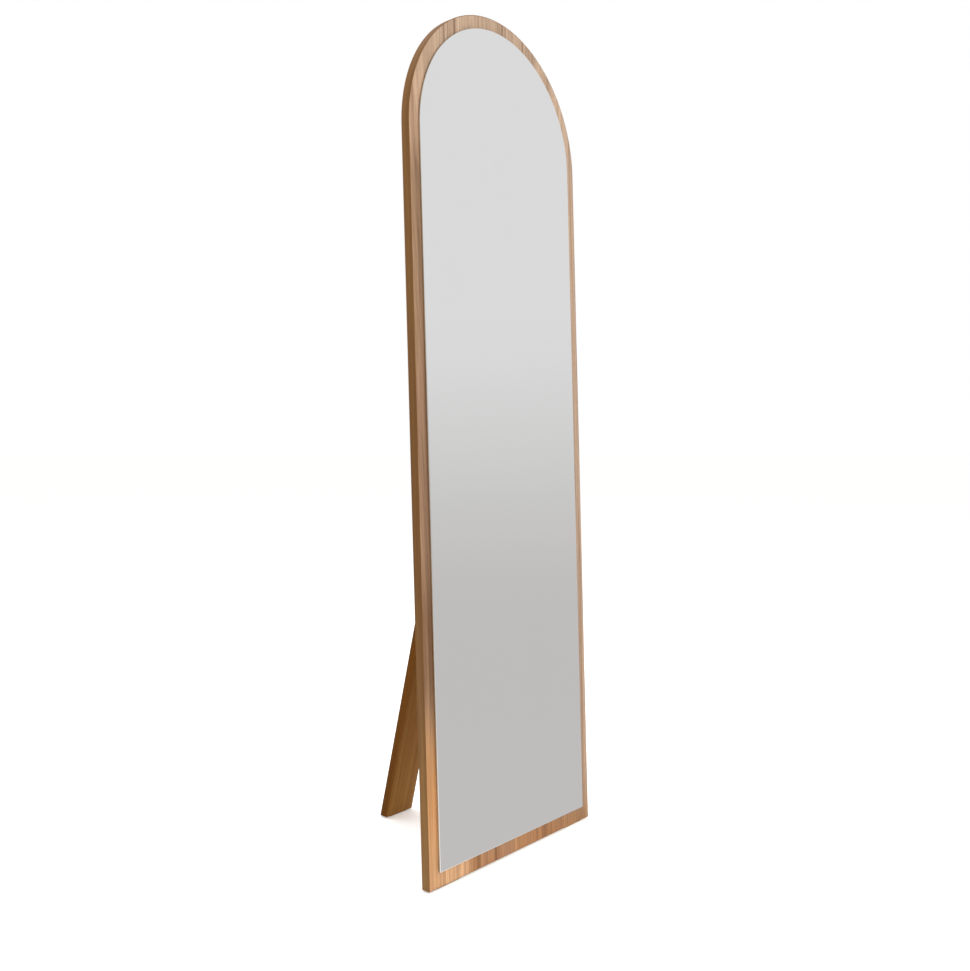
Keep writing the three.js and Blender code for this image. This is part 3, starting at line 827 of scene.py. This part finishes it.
# ---------- screws, rivet and stud ----------
def cross_cutter(size, depth):
    """The tapered cross of a screw's drive, pointing into the head along -x."""
    top = 0.4 * MM
    forms = []
    for turn in (0, math.pi / 2):
        solid = Solid()
        wide, thin = size, size * 0.26
        rings = []
        for x, share in ((top, 1.0), (-depth * 0.3, 0.9), (-depth, 0.25)):
            corners = [(x, a * wide * share, b * thin * (0.5 + share / 2))
                       for a, b in ((-1, -1), (1, -1), (1, 1), (-1, 1))]
            rings.append(solid.ring(corners))
        forms.append(moved(solid.loft(rings, flat=True), Matrix.Rotation(turn, 4, "X")))
    return forms


def thread(root, crest, first, count, way):
    """Profile of a thread's ridges, from the first ridge's x along +x or -x."""
    profile = []
    for number in range(count):
        x = first + way * number * THREAD_PITCH
        profile += [(root, x - way * THREAD_FLANK), (crest, x), (root, x + way * THREAD_FLANK)]
    return profile


def screw_mesh():
    """A countersunk wood screw: head face at the origin, shank and thread along -x."""
    head, shank, root, point = 3 * MM, 1.5 * MM, 1.15 * MM, 0.55 * MM     # radii
    rim, tip = 0.25 * MM, -13 * MM
    profile = [(0, 0), (head - rim, 0), (head - 0.06 * MM, -0.06 * MM), (head, -rim),
               (shank, -1.75 * MM), (shank, -3.2 * MM), *thread(root, shank, -3.75 * MM, 7, -1),
               (point, tip + 1.2 * MM), (0, tip)]
    return combined("screw", lathe(profile, SMALL_ROUND_STEPS),
                    cross_cutter(1.75 * MM, 1.5 * MM), "DIFFERENCE")


def countersink(x, y, z):
    """A cutter for a screw's hole in a sheet whose face looks along +y."""
    above, below = 1 * MM, -3 * MM
    cone = lathe([(0, above), (COUNTERSINK, above), (COUNTERSINK, 0),
                  (SCREW_BORE, -COUNTERSINK_DEPTH), (SCREW_BORE, below), (0, below)],
                 SMALL_ROUND_STEPS)
    return moved(cone, Matrix.Translation((x, y, z)) @ INTO_PANEL)


def dome(start, way):
    """Profile of a domed head from its rim to its crown, along +x or -x."""
    rim, steps = 0.25, 7          # the rim is the share of its height that is upright
    points = [(HEAD, start), (HEAD, start + way * rim * HEAD_HEIGHT)]
    for i in range(1, steps + 1):
        t = math.pi / 2 * i / steps
        points.append((HEAD * math.cos(t) if i < steps else 0,
                       start + way * HEAD_HEIGHT * (rim + (1 - rim) * math.sin(t))))
    return points


def leaf_mesh(name, centre, knuckles, screw_places):
    """A hinge leaf rolled round its pin: wood side at y = -KNUCKLE, leaf up along z."""
    wood_side, face = -KNUCKLE, LEAF - KNUCKLE
    outline = soft_rectangle(centre - HINGE_HALF, centre + HINGE_HALF, KNUCKLE + 2 * GAP,
                             LEAF_REACH, 1.6 * MM)
    base = plate(outline, rounded(wood_side, face, 0.18 * MM, steps=2))
    tongue = LEAF_REACH * 0.55  # how far a roll runs up inside the leaf
    start, end = math.pi, 2.75 * math.pi
    section = [(wood_side + SKIN, tongue), *arc((0, 0), KNUCKLE - SKIN, start, end, 36),
               *arc((0, 0), PIN + GAP, end, start, 36), (face - SKIN, tongue)]
    rolls = []
    for limits in knuckles:
        solid = Solid()
        ends = [solid.ring([(centre + x, u, v) for u, v in section]) for x in limits]
        rolls.append(solid.loft(ends))
    joined = combined(name, base, rolls, "UNION")
    cutters = [countersink(x, face, SCREW_REACH) for x in screw_places]
    return combined(name, joined, cutters, "DIFFERENCE")


def build_hinges(screw):
    """Two butt hinges; each screw's drive stands at an angle of its own."""
    axis_y, axis_z = AXIS_IN_PANEL.y, AXIS_IN_PANEL.z
    # Lays a leaf on the leg's top end: the leaf's z runs to the leg's back.
    turned = Matrix(((-1, 0, 0, 0), (0, 0, 1, 0), (0, 1, 0, 0), (0, 0, 0, 1)))
    outer = [(-HINGE_HALF, -MIDDLE_KNUCKLE_HALF), (MIDDLE_KNUCKLE_HALF, HINGE_HALF)]
    inner = [(GAP - MIDDLE_KNUCKLE_HALF, MIDDLE_KNUCKLE_HALF - GAP)]
    pin_end = HINGE_HALF - PIN_RIM
    for side, sign in (("left", -1), ("right", 1)):
        centre = sign * HINGE_OFFSET
        spots = {"outer": centre + sign * SCREW_SPREAD, "inner": centre - sign * SCREW_SPREAD}
        mesh = leaf_mesh(f"hinge_{side}_panel", centre, outer, list(spots.values()))
        piece(f"hinge_{side}_upper_leaf", mesh, at_panel(0, axis_y, axis_z), "panel",
              "zinc_plate", [zinc], f"hinge_{side}_panel_leaf")
        mesh = leaf_mesh(f"hinge_{side}_leg", -centre, inner, [-x for x in spots.values()])
        piece(f"hinge_{side}_lower_leaf", mesh, LEG @ turned, "leg", "zinc_plate", [zinc],
              f"hinge_{side}_leg_leaf")
        pin = lathe([(0, -HINGE_HALF), (PIN - PIN_RIM, -HINGE_HALF), (PIN, -pin_end),
                     (PIN, pin_end), (PIN - PIN_RIM, HINGE_HALF), (0, HINGE_HALF)],
                    SMALL_ROUND_STEPS)
        piece(f"hinge_{side}_axle", pin, at_panel(centre, axis_y, axis_z), "panel",
              "steel_fastener", [steel], f"hinge_{side}_pin")
        for number, (spot, x) in enumerate(spots.items()):
            turn = Matrix.Rotation(0.5 + 1.1 * number + sign, 4, "X")
            upper = at_panel(x, GAP + LEAF, axis_z + SCREW_REACH) @ INTO_PANEL
            lower = LEG @ Matrix.Translation((x, SCREW_REACH, LEAF - KNUCKLE)) @ INTO_LEG
            for row, body, place in (("upper", "panel", upper), ("lower", "leg", lower)):
                piece(f"screw_{side}_{row}_{spot}", screw.copy(), place @ turn, body,
                      "steel_fastener", [steel], f"hinge_{side}_{body}_screw_{spot}")


# ---------- leg ----------
def build_leg():
    levels = rounded(LEG_FRONT, LEG_BACK, BOARD_ARRIS)
    board = slanted(plate(leg_outline(BAND + SEAM), levels, finishes=(0, 0, 1)))
    piece("leg_plank", board, LEG, "leg", "wood_face", [veneer_leg, veneer_leg_back], "leg_board")

    solid, loops = Solid(), []
    outline = leg_outline(0)
    outer = outline(0)
    along = [0.0]  # how far round the leg each point is
    for one, two in zip(outer, outer[1:]):
        along.append(along[-1] + math.dist(one, two))
    for inset, depth in band_section(LEG_FRONT, LEG_BACK):
        loops.append(solid.ring([(u, depth, v) for u, v in outline(inset)],
                                [Vector((depth - inset, 0, s)) for s in along]))
    for one, two in zip(loops, loops[1:] + loops[:1]):
        solid.wall(one, two)
    piece("leg_band", slanted(solid), LEG, "leg", "wood_edge", [leg_edge], "leg_edge_band")


# ---------- stay ----------
def slot_ends():
    """Centres of the slot's round ends along the bar, from the stud's travel."""
    opened = stud_at - stay_pivot
    folded = Matrix.Rotation(-SPREAD, 4, "X") @ (stud_at - hinge_axis) + hinge_axis - stay_pivot
    slack = SLOT_HALF - SHANK
    return (-math.hypot(opened.y, opened.z) - GAP + slack,
            -math.hypot(folded.y, folded.z) + GAP - slack)


def build_bar():
    inner, outer = STAY_BAR
    through = [(0, inner - MM), (0, outer + MM)]
    bar = plate(slotted(STAY_HALF, 0, BAR_LOW), rounded(inner, outer, 0.35 * MM, steps=3), in_yz)
    bore = plate(disc((0, 0), PIVOT_BORE), through, in_yz)
    slot_low, slot_high = slot_ends()
    slot = plate(slotted(SLOT_HALF, slot_high, slot_low), through, in_yz)
    mesh = combined("stay_bar_piece", bar, [bore, slot], "DIFFERENCE")
    piece("stay_slotted_bar", mesh, STAY, "stay", "zinc_plate", [zinc], "stay_bar")


def build_bracket(screw):
    """The stay's bracket: a base on the panel, bent up into a round-ended ear."""
    pivot = (PIVOT_IN_PANEL.y, PIVOT_IN_PANEL.z)
    low, high = pivot[1] - BRACKET_HALF_HEIGHT, pivot[1] + BRACKET_HALF_HEIGHT
    face, ear_face = GAP + BRACKET_SHEET, BRACKET_IN + BRACKET_SHEET
    base = plate(soft_rectangle(BRACKET_IN, BRACKET_IN + BRACKET_WIDTH, low, high, 2.5 * MM),
                 rounded(GAP, face, BRACKET_ARRIS, steps=2))

    def ear_outline(inset):
        root, slope = GAP + inset + 0.3 * MM, inset * 1.4
        tip = arc(pivot, STAY_HALF - inset, -math.pi / 2, math.pi / 2, 24)
        return [(root, low + slope), *tip, (root, high - slope)]

    ear = plate(ear_outline, rounded(BRACKET_IN + SKIN, ear_face, BRACKET_ARRIS, steps=2), in_yz)
    # The fillet of the bend, sunk a little into the base and the ear.
    sunk, reach, clear = 0.5 * MM, 1.6 * MM, 4 * MM
    curve = arc((ear_face + reach, face + reach), reach, 1.5 * math.pi, math.pi, 8)
    section = [(ear_face - sunk, face - sunk), (ear_face + reach, face - sunk), *curve,
               (ear_face - sunk, face + reach)]
    fillet = Solid()
    fillet.loft([fillet.ring([(x, y, z) for x, y in section]) for z in (low + clear, high - clear)])
    joined = combined("bracket", base, [ear, fillet], "UNION")

    screw_x = BRACKET_IN + (BRACKET_SHEET + BRACKET_WIDTH) / 2
    heights = {"upper": pivot[1] + BRACKET_SCREW_RISE, "lower": pivot[1] - BRACKET_SCREW_RISE}
    bore = plate(disc(pivot, PIVOT_BORE), [(0, BRACKET_IN - MM), (0, ear_face + MM)], in_yz)
    cutters = [bore, *[countersink(screw_x, face, z) for z in heights.values()]]
    mesh = combined("stay_bracket_piece", joined, cutters, "DIFFERENCE")
    piece("stay_angle_bracket", mesh, PANEL, "panel", "zinc_plate", [zinc], "stay_bracket")
    for number, (name, z) in enumerate(heights.items()):
        turn = Matrix.Rotation(0.8 + 1.7 * number, 4, "X")
        piece(f"bracket_screw_{name}", screw.copy(), at_panel(screw_x, face, z) @ INTO_PANEL @ turn,
              "panel", "steel_fastener", [steel], f"stay_bracket_screw_{name}")


def build_rivet():
    in_face, out_face = STAY_BAR[0] - GAP, BRACKET_IN + BRACKET_SHEET + GAP
    rivet = lathe([*reversed(dome(in_face, -1)), (SHANK, in_face), (SHANK, out_face),
                   *dome(out_face, 1)])
    piece("pivot_rivet", rivet, at_panel(0, PIVOT_IN_PANEL.y, PIVOT_IN_PANEL.z), "panel",
          "steel_fastener", [steel], "stay_rivet")


def build_stud():
    """The shoulder screw that runs in the slot, screwed into the leg's side, and its washer."""
    shoulder = LEG_HALF + GAP
    profile = [(0, 17 * MM), (0.6 * MM, 18 * MM), *thread(1.3 * MM, 1.75 * MM, 20 * MM, 18, 1),
               (1.7 * MM, shoulder), (SHANK, shoulder), (SHANK, BRACKET_IN), *dome(BRACKET_IN, 1)]
    drive = [moved(form, Matrix.Translation((BRACKET_IN + HEAD_HEIGHT, 0, 0)))
             for form in cross_cutter(2.2 * MM, 1.1 * MM)]
    stud = combined("stud", lathe(profile), drive, "DIFFERENCE")
    at_stud = LEG @ Matrix.Translation(STUD_IN_LEG)
    piece("slot_stud", stud, at_stud, "leg", "steel_fastener", [steel], "stay_stud")
    washer_top, edge = STAY_BAR[0] - GAP, 0.2 * MM
    washer = lathe([(PIVOT_BORE, shoulder), (HEAD - edge, shoulder), (HEAD, shoulder + edge),
                    (HEAD, washer_top - edge), (HEAD - edge, washer_top),
                    (PIVOT_BORE, washer_top)])
    piece("stud_washer", washer, at_stud, "leg", "zinc_plate", [zinc], "stay_washer")


def build_tapes():
    """The four strips under the glass stay as CAD nodes, with a foam finish."""
    for number in (1, 2, 3, 4):
        tape = frame["nodes"][f"mirror_tape_{number}"]
        tape.data.materials.clear()
        tape.data.materials.append(foam)


build_board()
build_panel_bands()
build_glass()
build_pads()
build_leg()
wood_screw = screw_mesh()
build_hinges(wood_screw)
build_bar()
build_bracket(wood_screw)
build_rivet()
build_stud()
build_tapes()

# ---------- camera ----------
CAMERA_AT = (-1.5765, -1.3720, 0.7948)
CAMERA_HEADING = math.radians(48.176)  # from +Y towards +X
CAMERA_PITCH = math.radians(-2.364)
CAMERA_LENS = 38.395  # mm, on a sensor 36 mm wide
CAMERA_SHIFT = 0.0485  # of the picture's width


def build_camera():
    """Left of the mirror, looking across it with a touch of downward tilt."""
    level = math.cos(CAMERA_PITCH)
    forward = Vector((math.sin(CAMERA_HEADING) * level, math.cos(CAMERA_HEADING) * level,
                      math.sin(CAMERA_PITCH)))
    right = Vector((math.cos(CAMERA_HEADING), -math.sin(CAMERA_HEADING), 0))
    up = right.cross(forward)
    data = bpy.data.cameras.new("camera")
    data.sensor_width = 36.0
    data.lens = CAMERA_LENS
    data.shift_x = CAMERA_SHIFT
    camera = added("camera", data)
    camera.matrix_world = Matrix.Translation(CAMERA_AT) @ Matrix((
        (right.x, up.x, -forward.x, 0), (right.y, up.y, -forward.y, 0),
        (right.z, up.z, -forward.z, 0), (0, 0, 0, 1)))
    bpy.context.scene.camera = camera


# ---------- stage and light ----------
FLOOR_RADIUS = 60
FLOOR_GLOW = 0.36                 # lifts the floor to white
SKY_LIGHT = 0.72
# Sine of the elevation where the sweep seen in reflections starts and ends.
SWEEP_FROM, SWEEP_TO = -0.60, 0.16
# How far along the sweep, and its colour there. The ramp's curve is cut off at 1.
SWEEP = ((0.0, (1.5, 1.48, 1.36)), (0.09, (1.0, 0.94, 0.84)), (0.18, (0.576, 0.563, 0.556)),
         (0.26, (0.576, 0.563, 0.556)), (0.34, (0.574, 0.561, 0.554)),
         (0.632, (0.574, 0.561, 0.554)), (0.705, (0.607, 0.598, 0.589)),
         (0.779, (0.647, 0.646, 0.638)), (0.908, (0.733, 0.733, 0.731)), (1.0, (0.772,) * 3))


def build_stage():
    """A plain white floor that the mirror doesn't show."""
    floor = Solid()
    edge = arc((0, 0), FLOOR_RADIUS, 0, 2 * math.pi, 64)[:-1]
    floor.face(floor.ring([(x, y, 0) for x, y in edge]), flat=True)
    mesh = floor.mesh("floor")
    paper = Material("floor_paper")
    fibre = paper.noise((0.4,) * 3, 3.0, 0.5)
    paper.set(base_color=paper.mix(fibre, (0.9, 0.9, 0.9, 1), (0.92, 0.92, 0.915, 1)),
              roughness=0.9, specular_ior_level=0.0, emission_color=(1, 1, 1, 1),
              emission_strength=FLOOR_GLOW)
    mesh.materials.append(paper.material)
    thing = added("floor", mesh)
    thing.visible_glossy = False


def build_world():
    """White to the eye, soft and even as a light, and a grey sweep in reflections."""
    world = bpy.data.worlds.new("studio")
    bpy.context.scene.world = world
    sky = Nodes(world)

    direction = sky.node("ShaderNodeTexCoord").outputs["Generated"]
    split = sky.node("ShaderNodeSeparateXYZ")
    sky.give(split.inputs[0], direction)
    height = sky.fed("ShaderNodeMapRange", split.outputs["Z"], SWEEP_FROM, SWEEP_TO)
    sweep = sky.node("ShaderNodeValToRGB")
    sky.give(sweep.inputs["Fac"], height)
    ramp = sweep.color_ramp
    ramp.interpolation = "CARDINAL"
    while len(ramp.elements) < len(SWEEP):
        ramp.elements.new(0.5)
    for element, (at, colour) in zip(ramp.elements, SWEEP):
        element.position = at
        element.color = (*colour, 1)

    ray = sky.node("ShaderNodeLightPath").outputs
    lit = sky.fed("ShaderNodeBackground", (1.0, 0.985, 0.97, 1), SKY_LIGHT)
    reflected = sky.fed("ShaderNodeBackground", sweep.outputs["Color"], 1.0)
    seen = sky.fed("ShaderNodeBackground", (1, 1, 1, 1), 1.0)
    unseen = sky.fed("ShaderNodeMixShader", ray["Is Glossy Ray"], lit, reflected)
    shown = sky.fed("ShaderNodeMixShader", ray["Is Camera Ray"], unseen, seen)
    sky.give(sky.node("ShaderNodeOutputWorld").inputs["Surface"], shown)


def soft_light(name, place, aim, size, watts, colour):
    data = bpy.data.lights.new(name, "AREA")
    data.shape = "DISK"
    data.size = size
    data.energy = watts
    data.color = colour
    light = added(name, data)
    light.location = place
    light.rotation_euler = (Vector(aim) - Vector(place)).to_track_quat("-Z", "Y").to_euler()
    light.visible_glossy = False


build_camera()
build_stage()
build_world()
soft_light("key", place=(2.2, -3.2, 2.6), aim=(0, 0, 0.8), size=2.4, watts=70,
           colour=(1.0, 0.98, 0.96))
soft_light("overhead", place=(0, 0.5, 4.0), aim=(0, 0, 0), size=3.0, watts=90,
           colour=(1.0, 1.0, 1.0))
bpy.context.scene.view_settings.view_transform = "Standard"
